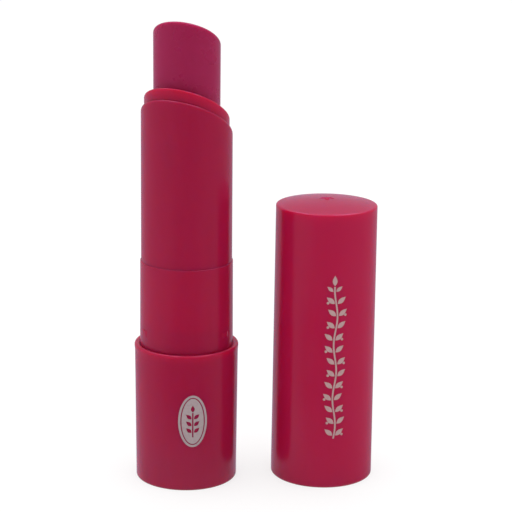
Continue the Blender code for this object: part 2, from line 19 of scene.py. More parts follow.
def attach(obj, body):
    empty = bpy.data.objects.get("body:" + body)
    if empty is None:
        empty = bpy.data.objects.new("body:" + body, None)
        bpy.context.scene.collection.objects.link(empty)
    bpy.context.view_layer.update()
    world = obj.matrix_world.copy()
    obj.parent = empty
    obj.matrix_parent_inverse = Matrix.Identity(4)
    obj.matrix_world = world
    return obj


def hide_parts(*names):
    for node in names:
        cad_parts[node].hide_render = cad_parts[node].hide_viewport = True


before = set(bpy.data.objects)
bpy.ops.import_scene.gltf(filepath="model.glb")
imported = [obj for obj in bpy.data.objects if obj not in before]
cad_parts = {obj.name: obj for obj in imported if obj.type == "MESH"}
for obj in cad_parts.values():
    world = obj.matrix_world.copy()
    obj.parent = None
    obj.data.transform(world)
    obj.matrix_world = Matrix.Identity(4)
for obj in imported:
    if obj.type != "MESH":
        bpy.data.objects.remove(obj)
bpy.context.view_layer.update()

LOG = logging.getLogger("lipstick")
MM = 0.001
COLUMNS = 192
EDGE_STEPS = 7
RIM_STEPS = 10
SAME_PLACE = 1e-5
ON_AXIS = 1e-6
SLANT_MARGIN = 0.2
LEAF_BULGE = 0.85
LEAF_POINT = 1.1
SMOOTH_ANGLE = math.radians(40.0)
WHITE = (1.0, 1.0, 1.0, 1.0)

Point = tuple[float, float]
Triple = tuple[float, float, float]
Outline = list[Point]
Colour = tuple[float, float, float, float]
Mesh = bmesh.types.BMesh
Material = bpy.types.Material
Node = bpy.types.Node
Socket = bpy.types.NodeSocket
Inputs = dict[str | int, object]


class Body(Enum):
    """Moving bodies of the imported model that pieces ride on."""

    FOOT = "foot"
    TURNING_TUBE = "turning_tube"
    CARRIER = "carrier"
    CAP = "cap"


class Slot(Enum):
    """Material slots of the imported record."""

    SHELL = "shell_plastic"
    CAP = "cap_plastic"
    WAX = "lipstick_wax"


class Carving(Enum):
    """What a tool shape does to the piece that it meets."""

    CUT = "DIFFERENCE"
    WELD = "UNION"


def linear(srgb_hex: str) -> Colour:
    """Turns an sRGB colour into the linear one that a shader takes.

    Args:
        srgb_hex: Six hex digits, red first.

    Returns:
        Red, green, blue and an opaque alpha.
    """
    channels = [int(srgb_hex[i : i + 2], 16) / 255 for i in (0, 2, 4)]
    red, green, blue = (c / 12.92 if c <= 0.04045 else ((c + 0.055) / 1.055) ** 2.4 for c in channels)
    return red, green, blue, 1.0


def feed(tree: bpy.types.NodeTree, node: Node, sockets: Inputs) -> None:
    """Sets inputs of a node.

    Args:
        tree: Node tree that holds the node.
        node: Node to set.
        sockets: Inputs by name or place, each with a value or with the output that feeds it.
    """
    for name, value in sockets.items():
        if isinstance(value, Socket):
            tree.links.new(value, node.inputs[name])
        else:
            node.inputs[name].default_value = value


def add_node(
    tree: bpy.types.NodeTree,
    kind: str,
    settings: dict[str, object] | None = None,
    sockets: Inputs | None = None,
) -> Node:
    """Adds a shader node with its settings and its links.

    Args:
        tree: Node tree that takes the node.
        kind: Blender's name for the type of node.
        settings: Properties of the node, by name.
        sockets: Inputs by name or place, each with a value or with the output that feeds it.

    Returns:
        The new node.
    """
    node = tree.nodes.new(kind)
    for name, value in (settings or {}).items():
        setattr(node, name, value)
    feed(tree, node, sockets or {})
    return node


def per_metre(spacing_mm: float) -> float:
    """Turns the spacing of a pattern in millimetres into a texture's scale."""
    return 1.0 / (spacing_mm * MM)


@dataclass
class Graph:
    """Node tree of a shader, with the kinds of nodes that the finishes and the studio share."""

    tree: bpy.types.NodeTree

    @cached_property
    def place(self) -> Socket:
        """Output that gives the place on a piece, in metres."""
        return add_node(self.tree, "ShaderNodeTexCoord").outputs["Object"]

    def noise(self, spacing: float | Triple, detail: float, roughness: float = 0.5) -> Socket:
        """Adds a cloudy pattern.

        Args:
            spacing: Size of its clouds in millimetres, one for all axes or one for each.
            detail: Number of finer layers.
            roughness: Strength of the finer layers.

        Returns:
            The strength of the pattern.
        """
        place, scale = self.place, 1.0
        if isinstance(spacing, tuple):
            stretch = {"Vector": place, "Scale": tuple(map(per_metre, spacing))}
            place = add_node(self.tree, "ShaderNodeMapping", sockets=stretch).outputs[0]
        else:
            scale = per_metre(spacing)
        sockets = {"Vector": place, "Scale": scale, "Detail": detail, "Roughness": roughness}
        return add_node(self.tree, "ShaderNodeTexNoise", sockets=sockets).outputs["Fac"]

    def bump(self, height: Socket, depth: float, under: Socket | None = None) -> Socket:
        """Adds relief to the surface.

        Args:
            height: Pattern that raises the surface.
            depth: Height of the relief in millimetres.
            under: Relief that this one lies on.

        Returns:
            The normal of the surface.
        """
        sockets = {"Strength": 1.0, "Distance": depth * MM, "Height": height}
        if under is not None:
            sockets["Normal"] = under
        return add_node(self.tree, "ShaderNodeBump", sockets=sockets).outputs[0]

    def spread(self, value: Socket, source: Point, target: Point = (0.0, 1.0), soft: bool = False) -> Socket:
        """Maps a value from one range to another.

        Args:
            value: Value to map.
            source: Ends of its own range.
            target: What the ends become.
            soft: Whether both ends are eased.

        Returns:
            The mapped value.
        """
        settings = {"interpolation_type": "SMOOTHSTEP"} if soft else None
        sockets = {"Value": value, "From Min": source[0], "From Max": source[1]}
        sockets |= {"To Min": target[0], "To Max": target[1]}
        return add_node(self.tree, "ShaderNodeMapRange", settings, sockets).outputs["Result"]

    def blend(self, share: Socket, first: str, second: str) -> Socket:
        """Mixes two sRGB colours, given as hex digits."""
        sockets = {0: share, 6: linear(first), 7: linear(second)}
        return add_node(self.tree, "ShaderNodeMix", {"data_type": "RGBA"}, sockets).outputs[2]

    def between(self, share: Socket, first: Socket, second: float) -> Socket:
        """Mixes two numbers."""
        sockets = {0: share, 2: first, 3: second}
        return add_node(self.tree, "ShaderNodeMix", {"data_type": "FLOAT"}, sockets).outputs[0]

    def number(self, operation: str, first: Socket | float, second: Socket | float = 0.0) -> Socket:
        """Reckons with two numbers, or with the first alone."""
        sockets = {0: first, 1: second}
        return add_node(self.tree, "ShaderNodeMath", {"operation": operation}, sockets).outputs[0]

    def vector(self, operation: str, first: Socket, second: Triple = (0.0, 0.0, 0.0)) -> Socket:
        """Reckons with two vectors, or with the first alone; dot products and distances are numbers."""
        node = add_node(self.tree, "ShaderNodeVectorMath", {"operation": operation}, {0: first, 1: second})
        return node.outputs["Value" if operation in ("DOT_PRODUCT", "DISTANCE") else "Vector"]

    def either(self, share: Socket | float, first: Node, second: Node) -> Node:
        """Mixes two shaders."""
        sockets = {0: share, 1: first.outputs[0], 2: second.outputs[0]}
        return add_node(self.tree, "ShaderNodeMixShader", sockets=sockets)

    def show(self, shader: Node, output: str = "Material Output") -> None:
        """Links a shader to the surface."""
        self.tree.links.new(shader.outputs[0], self.tree.nodes[output].inputs["Surface"])


def start_material(name: str) -> tuple[Material, Graph, Node]:
    """Makes a material that holds an untouched Principled shader.

    Args:
        name: Name of the material.

    Returns:
        The material, its node tree and its shader node.
    """
    material = bpy.data.materials.new(name)
    material.use_nodes = True
    return material, Graph(material.node_tree), material.node_tree.nodes["Principled BSDF"]


@dataclass(frozen=True)
class Finish(ABC):
    """The look of one substance."""

    name: str

    @abstractmethod
    def inputs(self, graph: Graph) -> Inputs:
        """Lays out the patterns of the substance.

        Args:
            graph: Node tree that takes the patterns.

        Returns:
            Inputs of the Principled shader, each with a value or with the output that feeds it.
        """

    def make(self) -> Material:
        """Builds the material.

        Returns:
            The material, ready to be put on a piece.
        """
        material, graph, shader = start_material(self.name)
        feed(graph.tree, shader, self.inputs(graph))
        return material


@dataclass(frozen=True)
class MouldedStyrene(Finish):
    """Styrene plastic, injection moulded against polished steel.

    It gives the eye a saturated body colour under a thin even gloss. The melt leaves broad clouds
    of pigment along the way it flowed, shrinkage leaves a ripple in the gloss, and handling leaves
    fine upright rub marks and duller patches. Red light spreads through the wall, so that edges
    glow and narrow gaps stay warm.
    """

    colour: str
    cloud_colour: str
    ior: float = 1.5
    roughness: Point = (0.13, 0.24)
    wear: Point = (0.12, 0.42)
    cloud_width: float = 7.0
    cloud_length: float = 26.0
    cloud_breakup: float = 0.6
    ripple_spacing: float = 1.6
    ripple_height: float = 0.0016
    grain_spacing: float = 0.35
    grain_height: float = 0.0003
    rub_width: float = 0.3
    rub_length: float = 9.0
    glow: float = 0.8
    glow_depth: float = 5.0
    glow_reach: Triple = (1.0, 0.06, 0.1)

    def inputs(self, graph: Graph) -> Inputs:
        """Lays out pigment clouds, worn patches, ripple and grain.

        Args:
            graph: Node tree that takes the patterns.

        Returns:
            Inputs of the Principled shader.
        """
        cloud_size = (self.cloud_width, self.cloud_width, self.cloud_length)
        clouds = graph.noise(cloud_size, detail=4.0, roughness=self.cloud_breakup)
        # The rub marks are drawn wider than the real hairlines, which are too fine to show.
        rubs = graph.noise((self.rub_width, self.rub_width, self.rub_length), detail=2.0)
        worn = graph.number("MULTIPLY", rubs, graph.noise(self.cloud_width, detail=3.0))
        rippled = graph.bump(graph.noise(self.ripple_spacing, detail=1.0), self.ripple_height)
        grain = graph.noise(self.grain_spacing, detail=2.0)
        return {
            "Base Color": graph.blend(clouds, self.colour, self.cloud_colour),
            "Roughness": graph.spread(worn, self.wear, self.roughness),
            "Normal": graph.bump(grain, self.grain_height, rippled),
            "IOR": self.ior,
            "Metallic": 0.0,
            "Subsurface Weight": self.glow,
            "Subsurface Scale": self.glow_depth * MM,
            "Subsurface Radius": self.glow_reach,
        }


@dataclass(frozen=True)
class PouredWax(Finish):
    """Lipstick wax, poured into a polished mould and turned out.

    It gives the eye a satin skin, a little paler and softer than plastic, because light goes some
    way into the wax. Oils bloom in soft clouds, the skin has a fine grain, and tiny pits are left
    by air.
    """

    colour: str
    bloom_colour: str
    ior: float = 1.44
    roughness: Point = (0.24, 0.34)
    bloom: Point = (0.3, 0.7)
    glow: float = 0.9
    glow_depth: float = 2.2
    glow_reach: Triple = (1.0, 0.45, 0.55)
    bloom_spacing: float = 3.2
    grain_spacing: float = 0.3
    grain_height: float = 0.004
    pit_spacing: float = 1.5
    pit_size: float = 0.09
    pit_depth: float = 0.0015

    def inputs(self, graph: Graph) -> Inputs:
        """Lays out bloom, grain and pits.

        Args:
            graph: Node tree that takes the patterns.

        Returns:
            Inputs of the Principled shader.
        """
        bloom = graph.noise(self.bloom_spacing, detail=4.0)
        grained = graph.bump(graph.noise(self.grain_spacing, detail=3.0), self.grain_height)
        cell = {"Vector": graph.place, "Scale": per_metre(self.pit_spacing)}
        middle = add_node(graph.tree, "ShaderNodeTexVoronoi", sockets=cell).outputs["Distance"]
        pits = graph.spread(middle, (self.pit_size / 2, self.pit_size), soft=True)
        return {
            "Base Color": graph.blend(bloom, self.colour, self.bloom_colour),
            "Roughness": graph.spread(bloom, self.bloom, self.roughness),
            "Normal": graph.bump(pits, self.pit_depth, grained),
            "IOR": self.ior,
            "Subsurface Weight": self.glow,
            "Subsurface Scale": self.glow_depth * MM,
            "Subsurface Radius": self.glow_reach,
        }


@dataclass(frozen=True)
class PatchyFinish(Finish):
    """A substance of even gloss, with patches of a second colour and a fine relief."""

    colour: str
    patch_colour: str
    ior: float
    roughness: float
    patch_spacing: float
    patches: Point
    grain_spacing: float
    grain_height: float
    grain_detail: float = 2.0

    def inputs(self, graph: Graph) -> Inputs:
        """Lays out the patches and the relief.

        Args:
            graph: Node tree that takes the patterns.

        Returns:
            Inputs of the Principled shader.
        """
        patches = graph.spread(graph.noise(self.patch_spacing, detail=3.0), self.patches)
        grain = graph.noise(self.grain_spacing, self.grain_detail)
        return {
            "Base Color": graph.blend(patches, self.colour, self.patch_colour),
            "Normal": graph.bump(grain, self.grain_height),
            "Roughness": self.roughness,
            "IOR": self.ior,
        }


@dataclass(frozen=True)
class PadPrintedInk(PatchyFinish):
    """Pale ink laid on the curved plastic by a silicone pad.

    It gives the eye a flat chalky tone that is duller than the plastic, with faint mottling where
    the film is thin and lets some of the body colour through.
    """

    ior: float = 1.45
    roughness: float = 0.42
    patch_spacing: float = 0.5
    patches: Point = (0.45, 0.8)
    grain_spacing: float = 0.25
    grain_height: float = 0.0015


@dataclass(frozen=True)
class NaturalAcetal(PatchyFinish):
    """Unpigmented acetal, injection moulded for the parts that slide.

    It gives the eye a milky white with a low waxy sheen, slightly warmer in broad soft patches.
    """

    colour: str = "E9E4DC"
    patch_colour: str = "DDD5C8"
    ior: float = 1.48
    roughness: float = 0.36
    patch_spacing: float = 4.0
    patches: Point = (0.0, 1.0)
    grain_spacing: float = 0.3
    grain_height: float = 0.002


@dataclass(frozen=True)
class SiliconeRubber(PatchyFinish):
    """Black silicone rubber, compression moulded.

    It gives the eye a soft dark grey without clear reflections, speckled with dust that clings.
    """

    colour: str = "2B2B2D"
    patch_colour: str = "55534F"
    ior: float = 1.41
    roughness: float = 0.62
    patch_spacing: float = 0.2
    patches: Point = (0.62, 0.75)
    grain_spacing: float = 0.2
    grain_height: float = 0.003
    grain_detail: float = 3.0


def arc(
    middle: Point,
    radius: float,
    start: float,
    end: float,
    steps: int = EDGE_STEPS,
    rise: float | None = None,
) -> Outline:
    """Points of a round edge in the plane of radius and height.

    Args:
        middle: Centre of the rounding.
        radius: Radius of the rounding.
        start: Angle of the first point in degrees, from outwards towards up.
        end: Angle of the last point.
        steps: Number of chords.
        rise: Height of the rounding, where that differs from its radius.

    Returns:
        The points, in order.
    """
    angles = [math.radians(start + (end - start) * i / steps) for i in range(steps + 1)]
    tall = radius if rise is None else rise
    return [(middle[0] + radius * math.cos(a), middle[1] + tall * math.sin(a)) for a in angles]


def wall(start: Point, end: Point, margin: float = 0.12, most: float = 0.3) -> Outline:
    """Points of a straight wall, with a close ring at either end that keeps its shading straight.

    Args:
        start: First end of the wall.
        end: Last end of the wall.
        margin: Distance of the close rings from the ends.
        most: Largest share of the wall that the margin takes.

    Returns:
        The four points, in order.
    """
    share = min(margin / math.dist(start, end), most)
    return [tuple(a + (b - a) * s for a, b in zip(start, end)) for s in (0.0, share, 1.0 - share, 1.0)]


def revolve(outline: Outline, columns: int = COLUMNS) -> Mesh:
    """Turns a closed outline into a solid about the upright axis.

    Args:
        outline: Points of radius and height in millimetres, which may start and end on the axis.
        columns: Number of faces round the axis.

    Returns:
        The solid, in metres.
    """
    corners: Outline = []
    for point in outline:
        if not corners or math.dist(corners[-1], point) > SAME_PLACE:
            corners.append(point)
    mesh = bmesh.new()
    angles = [math.tau * i / columns for i in range(columns)]
    directions = [(math.cos(a), math.sin(a)) for a in angles]
    rings = []
    for radius, height in corners:
        z = height * MM
        if radius < ON_AXIS:
            rings.append([mesh.verts.new((0.0, 0.0, z))] * columns)
        else:
            rings.append([mesh.verts.new((radius * x * MM, radius * y * MM, z)) for x, y in directions])
    for low, high in zip(rings, rings[1:] + rings[:1]):
        for i in range(columns):
            j = (i + 1) % columns
            loop = list(dict.fromkeys((low[i], low[j], high[j], high[i])))
            if len(loop) > 2:
                mesh.faces.new(loop)
    bmesh.ops.recalc_face_normals(mesh, faces=mesh.faces)
    return mesh


def slant(mesh: Mesh, above: float, tilt: float, turn: float) -> None:
    """Shears the part of a mesh above a height, so that a level end there falls to one side.

    Args:
        mesh: Mesh to change.
        above: Height in millimetres over which points move.
        tilt: Slope of the end in degrees.
        turn: Direction in which the end falls, in degrees from +X towards +Y.
    """
    shear = Matrix.Identity(4)
    shear[2][0] = -math.tan(math.radians(tilt)) * math.cos(math.radians(turn))
    shear[2][1] = -math.tan(math.radians(tilt)) * math.sin(math.radians(turn))
    bmesh.ops.transform(mesh, matrix=shear, verts=[v for v in mesh.verts if v.co.z > above * MM])


def block(reach: Point, width: float, span: Point, turn: float) -> Mesh:
    """Makes a block that points away from the axis.

    Args:
        reach: Nearest and farthest distance from the axis, in millimetres.
        width: Size across.
        span: Lowest and highest height.
        turn: Direction in degrees from +X towards +Y.

    Returns:
        The block, in metres.
    """
    mesh = bmesh.new()
    size = Matrix.Diagonal((reach[1] - reach[0], width, span[1] - span[0], 1.0))
    middle = Matrix.Translation((sum(reach) / 2, 0.0, sum(span) / 2))
    place = Matrix.Rotation(math.radians(turn), 4, "Z") @ middle @ size
    bmesh.ops.create_cube(mesh, size=1.0, matrix=Matrix.Scale(MM, 4) @ place)
    return mesh


def plain_object(name: str, mesh: Mesh) -> bpy.types.Object:
    """Puts a mesh into the scene as a smooth-shaded object.

    Args:
        name: Name of the object.
        mesh: Its mesh, which is used up.

    Returns:
        The object.
    """
    data = bpy.data.meshes.new(name)
    mesh.to_mesh(data)
    mesh.free()
    data.shade_smooth()
    data.set_sharp_from_angle(angle=SMOOTH_ANGLE)
    thing = bpy.data.objects.new(name, data)
    bpy.context.scene.collection.objects.link(thing)
    return thing


def carve(mesh: Mesh, tool: Mesh, carving: Carving) -> Mesh:
    """Cuts a tool shape out of a mesh or welds it on.

    Args:
        mesh: Mesh to change, which is used up.
        tool: Shape of the tool, which is used up.
        carving: Whether the tool cuts or is welded on.

    Returns:
        The carved mesh.
    """
    target, knife = plain_object("carved", mesh), plain_object("tool", tool)
    step = target.modifiers.new("carving", "BOOLEAN")
    step.operation = carving.value
    step.solver = "EXACT"
    step.object = knife
    shaped = target.evaluated_get(bpy.context.evaluated_depsgraph_get())
    result = bmesh.new()
    result.from_mesh(shaped.data)
    for spent in (target, knife):
        data = spent.data
        bpy.data.objects.remove(spent)
        bpy.data.meshes.remove(data)
    return result


def add_piece(
    name: str,
    mesh: Mesh,
    finish: Material,
    body: Body,
    nodes: tuple[str, ...] = (),
) -> bpy.types.Object:
    """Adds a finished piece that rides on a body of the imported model.

    Args:
        name: Name of the piece.
        mesh: Its mesh in metres, which is used up.
        finish: Its material.
        body: Body that it moves with.
        nodes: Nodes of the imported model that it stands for.

    Returns:
        The piece.
    """
    piece = plain_object(name, mesh)
    piece.data.materials.append(finish)
    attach(piece, body.value)
    if nodes:
        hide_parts(*nodes)
    LOG.info("%s: %d faces, rides on %s", name, len(piece.data.polygons), body.value)
    return piece


@dataclass
class Foot:
    """The foot: base sleeve outside, collar with the cap's nubs inside."""

    finish: Material
    height: float = 26.09
    rim_radius: float = 9.625
    foot_radius: float = 9.462
    rim_bore: float = 9.053
    foot_bore: float = 8.89
    floor: float = 1.1
    rim_edge: float = 0.3
    rim_rise: float = 0.4
    bead: float = 0.07
    bead_height: float = 25.55
    bead_reach: float = 0.6
    bead_tail: float = 2.5
    bead_steps: int = 16
    lip_bore: float = 8.63
    lip_drop: float = 0.34
    lip_depth: float = 1.1
    foot_edge: float = 0.16
    fillet: float = 0.5
    snap_height: float = 4.8
    snap_depth: float = 0.18
    collar_radius: float = 8.653
    collar_top_radius: float = 8.564
    collar_foot: float = 1.4
    collar_top: float = 41.87
    collar_edge: float = 0.13
    collar_chamfer: float = 0.4
    collar_bore: float = 7.8
    low_bore: float = 8.15
    shoulder: float = 30.03
    catch: Point = (28.27, 0.12)
    press_radius: float = 8.853
    rib_count: int = 9
    rib_width: float = 0.8
    rib_root: float = 0.2
    rib_span: Point = (5.34, 20.34)
    nub_turns: tuple[float, ...] = (-32.3, 87.7, 207.7)
    nub_width: float = 1.95
    nub_span: Point = (28.29, 29.29)
    nub_stand: float = 0.09
    nub_ramp: Point = (0.5, 0.13)
    nub_edge: float = 0.03
    nub_root: float = 0.3
    keyway_turns: tuple[float, ...] = (0.0, 120.0, 240.0)
    keyway_width: float = 1.36
    keyway_reach: Point = (7.4, 8.06)
    keyway_span: Point = (29.63, 32.75)

    def outer_radius(self, height: float) -> float:
        """Radius of the sleeve's outside at a height, along its draft."""
        return self.foot_radius + (self.rim_radius - self.foot_radius) * height / self.height

    def swell(self, points: Outline) -> Outline:
        """Moves points of the sleeve's outside out to the soft bead under its rim.

        Args:
            points: Points of the plain outline.

        Returns:
            The points on the bead.
        """
        offsets = [(z - self.bead_height) / self.bead_reach for _, z in points]
        return [(r + self.bead * math.exp(-(s**2)), z) for (r, z), s in zip(points, offsets)]

    def nub_mesh(self, turn: float) -> Mesh:
        """Makes one nub that holds the cap: a flat pad whose two ends run down to the collar.

        Args:
            turn: Direction of the nub in degrees from +X towards +Y.

        Returns:
            The nub, in metres.
        """
        half, stand = self.nub_width / 2, self.collar_radius + self.nub_stand
        ramp, drop = self.nub_ramp
        ends = [(-half, stand - drop), (ramp - half, stand), (half - ramp, stand), (half, stand - drop)]
        root = self.collar_radius - self.nub_root
        profile = [(-half, root), *ends, (half, root)]
        nub = bmesh.new()
        low, high = ([nub.verts.new((r, t, z)) for t, r in profile] for z in self.nub_span)
        nub.faces.new(low)
        nub.faces.new(high)
        for i in range(len(profile)):
            j = (i + 1) % len(profile)
            nub.faces.new((low[i], low[j], high[j], high[i]))
        bmesh.ops.recalc_face_normals(nub, faces=nub.faces)
        # Each face gets a narrow border, so that its middle is shaded flat.
        bmesh.ops.inset_individual(nub, faces=nub.faces[:], thickness=self.nub_edge)
        place = Matrix.Scale(MM, 4) @ Matrix.Rotation(math.radians(turn), 4, "Z")
        bmesh.ops.transform(nub, matrix=place, verts=nub.verts)
        return nub

    def sleeve_mesh(self) -> Mesh:
        """Makes the outer shell: a drafted cup with a flat floor and a rim that is round to both sides.

        Returns:
            The mesh.
        """
        rim = self.height - self.rim_rise
        shoulder = self.bead_height - self.bead_tail * self.bead_reach
        snap_bore = self.foot_bore + (self.rim_bore - self.foot_bore) * self.snap_height / self.height
        outline = wall((0.0, 0.0), (self.foot_radius - self.foot_edge, 0.0))
        outline += arc((self.foot_radius - self.foot_edge, self.foot_edge), self.foot_edge, -90, 0)
        outline += wall((self.foot_radius, self.foot_edge), (self.outer_radius(shoulder), shoulder))
        steps = self.bead_steps
        heights = [shoulder + (rim - shoulder) * i / steps for i in range(1, steps)]
        outline += self.swell([(self.outer_radius(height), height) for height in heights])
        rim_middle = (self.rim_radius - self.rim_edge, rim)
        outline += self.swell(arc(rim_middle, self.rim_edge, 0, 90, RIM_STEPS, self.rim_rise))
        crest = outline[-1][0]
        lip_middle = (crest, self.height - self.lip_drop)
        outline += arc(lip_middle, crest - self.lip_bore, 90, 180, RIM_STEPS, self.lip_drop)
        lip_foot = self.height - self.lip_depth
        outline += [(self.lip_bore, lip_foot), (self.rim_bore, lip_foot - self.rim_bore + self.lip_bore)]
        outline.append((snap_bore, self.snap_height + 2 * self.snap_depth))
        outline.append((snap_bore + self.snap_depth, self.snap_height))
        outline.append((snap_bore, self.snap_height - 2 * self.snap_depth))
        outline += arc((self.foot_bore - self.fillet, self.floor + self.fillet), self.fillet, 0, -90)
        outline.append((0.0, self.floor))
        return revolve(outline)

    def collar_mesh(self) -> Mesh:
        """Makes the inner shell, with its press ribs, snap bead, keyways and the cap's nubs.

        Returns:
            The mesh.
        """
        edge, chamfer, snap = self.collar_edge, self.collar_chamfer, self.snap_depth
        radius, foot, rim = self.collar_radius, self.collar_foot, self.collar_top - edge
        catch_height, catch_step = self.catch
        outline = [(self.low_bore + edge, foot), (radius - chamfer, foot), (radius, foot + chamfer)]
        outline += [(radius, self.snap_height - 2 * snap), (self.press_radius + snap, self.snap_height)]
        outline += [(radius, self.snap_height + 2 * snap)]
        outline += wall((radius, self.height), (self.collar_top_radius, rim))
        outline += arc((self.collar_top_radius - edge, rim), edge, 0, 90)
        outline += arc((self.collar_bore + edge, rim), edge, 90, 180)
        outline += wall((self.collar_bore, rim), (self.collar_bore, self.shoulder))
        outline += [(self.low_bore, self.shoulder), (self.low_bore, catch_height)]
        outline += [(self.low_bore - catch_step, catch_height - catch_step)]
        outline += [(self.low_bore, catch_height - 4 * catch_step), (self.low_bore, foot + edge)]
        mesh = revolve(outline)
        for i in range(self.rib_count):
            reach = (radius - self.rib_root, self.press_radius)
            rib = block(reach, self.rib_width, self.rib_span, 360.0 * i / self.rib_count)
            mesh = carve(mesh, rib, Carving.WELD)
        for turn in self.keyway_turns:
            keyway = block(self.keyway_reach, self.keyway_width, self.keyway_span, turn)
            mesh = carve(mesh, keyway, Carving.CUT)
        for turn in self.nub_turns:
            mesh = carve(mesh, self.nub_mesh(turn), Carving.WELD)
        return mesh

    def build(self) -> None:
        """Adds both shells of the foot."""
        add_piece("foot_sleeve", self.sleeve_mesh(), self.finish, Body.FOOT, ("base_sleeve",))
        add_piece("cap_collar", self.collar_mesh(), self.finish, Body.FOOT, ("collar",))


@dataclass
class TurningTube:
    """The tube that the hand turns: slanted barrel outside, slotted guide tube inside."""

    finish: Material
    tilt: float = 30.4
    turn: float = 67.5
    bore: float = 7.8
    barrel_foot: float = 41.88
    barrel_mouth: float = 67.9
    barrel_foot_radius: float = 8.403
    barrel_mouth_radius: float = 8.325
    barrel_edge: Point = (0.44, 0.75)
    head_edge: Point = (0.46, 0.5)
    bore_edge: float = 0.08
    foot_edge: float = 0.01
    bead_height: float = 60.65
    bead: float = 0.1
    guide_mouth: float = 70.26
    guide_head: float = 58.25
    guide_head_radius: float = 7.74
    guide_radius: float = 7.06
    guide_bore: float = 6.58
    guide_neck_bore: float = 6.03
    guide_neck: float = 32.65
    neck_slope: float = 0.55
    claw_foot: float = 26.67
    claw_top: float = 28.27
    claw_taper: float = 1.1
    claw_hook: float = 0.3
    hook_radius: float = 7.44
    groove: Point = (30.37, 0.8)
    groove_depth: float = 0.55
    key_width: float = 1.4
    key_reach: Point = (7.06, 7.86)
    key_span: Point = (58.35, 64.35)
    key_play: float = 0.03
    key_room: float = 0.3
    cut_before: float = 0.4
    cut_beyond: float = 0.2
    slot_half_width: float = 1.2
    slot_span: Point = (33.35, 55.75)
    slot_turns: tuple[float, ...] = (20.0, 200.0)
    slit_turns: tuple[float, ...] = (65.0, 155.0, 245.0, 335.0)
    slit_width: float = 1.2
    slit_depth: float = 2.7

    def barrel_mesh(self) -> Mesh:
        """Makes the outer tube, whose rounded mouth is cut on a slant.

        Returns:
            The mesh.
        """
        edge, rise = self.barrel_edge
        rim, foot = self.barrel_mouth - rise, self.barrel_foot + self.foot_edge
        outline = arc((self.barrel_foot_radius - self.foot_edge, foot), self.foot_edge, -90, 0)
        outline += wall((self.barrel_foot_radius, foot), (self.barrel_mouth_radius, rim))
        outline += arc((self.barrel_mouth_radius - edge, rim), edge, 0, 90, RIM_STEPS, rise)
        inner_rim = self.barrel_mouth - self.bore_edge
        outline += arc((self.bore + self.bore_edge, inner_rim), self.bore_edge, 90, 180)
        outline += wall((self.bore, inner_rim), (self.bore, self.bead_height + 2 * self.bead))
        outline.append((self.bore - self.bead, self.bead_height))
        outline += wall((self.bore, self.bead_height - 2 * self.bead), (self.bore, foot))
        outline.append((self.bore + self.foot_edge, self.barrel_foot))
        mesh = revolve(outline)
        slant(mesh, rim - SLANT_MARGIN, self.tilt, self.turn)
        play = self.key_play
        reach = (self.bore - self.cut_before, self.key_reach[1] + play)
        span = (self.guide_head - self.key_room, self.key_span[1] + self.key_room)
        keyway = block(reach, self.key_width + 2 * play, span, self.turn + 180.0)
        return carve(mesh, keyway, Carving.CUT)

    def guide_mesh(self) -> Mesh:
        """Makes the inner tube: a thick slanted head, lug slots and snap claws.

        Returns:
            The mesh.
        """
        edge, rise = self.head_edge
        rim = self.guide_mouth - rise
        foot, radius, head = self.claw_foot, self.guide_radius, self.guide_head_radius
        groove_foot, groove_radius = self.groove[0], radius - self.groove_depth
        groove_top = groove_foot + self.groove[1]
        outline = [(self.guide_neck_bore, foot), (radius - self.claw_hook, foot)]
        outline += [(self.hook_radius, foot + self.claw_taper), (self.hook_radius, self.claw_top)]
        outline += [(radius, self.claw_top), (radius, groove_foot)]
        outline += [(groove_radius, groove_foot), (groove_radius, groove_top)]
        outline += wall((radius, groove_top), (radius, self.guide_head))
        outline += [(head, self.guide_head), (head, self.bead_height - 2 * self.bead)]
        outline += [(head - self.bead, self.bead_height)]
        outline += wall((head, self.bead_height + 2 * self.bead), (head, rim))
        outline += arc((head - edge, rim), edge, 0, 90, rise=rise)
        mouth, bore_edge = self.guide_mouth, self.bore_edge
        outline += wall((head - edge, mouth), (self.guide_bore + bore_edge, mouth))
        outline += arc((self.guide_bore + bore_edge, mouth - bore_edge), bore_edge, 90, 180)
        outline += wall((self.guide_bore, mouth - bore_edge), (self.guide_bore, self.guide_neck))
        outline.append((self.guide_neck_bore, self.guide_neck - self.neck_slope))
        mesh = revolve(outline)
        slant(mesh, rim - SLANT_MARGIN, self.tilt, self.turn)
        key = block(self.key_reach, self.key_width, self.key_span, self.turn + 180.0)
        mesh = carve(mesh, key, Carving.WELD)
        reach = (self.guide_neck_bore - self.cut_before, self.hook_radius + self.cut_beyond)
        slit_span = (foot - self.cut_before, foot + self.slit_depth)
        cuts = [(2 * self.slot_half_width, self.slot_span, turn) for turn in self.slot_turns]
        cuts += [(self.slit_width, slit_span, turn) for turn in self.slit_turns]
        for width, span, turn in cuts:
            mesh = carve(mesh, block(reach, width, span, turn), Carving.CUT)
        return mesh

    def build(self) -> None:
        """Adds both tubes."""
        body, slot = Body.TURNING_TUBE, Slot.SHELL
        add_piece("slanted_barrel", self.barrel_mesh(), self.finish, body, ("barrel",))
        add_piece("guide_mouth", self.guide_mesh(), self.finish, body, ("guide_tube",))


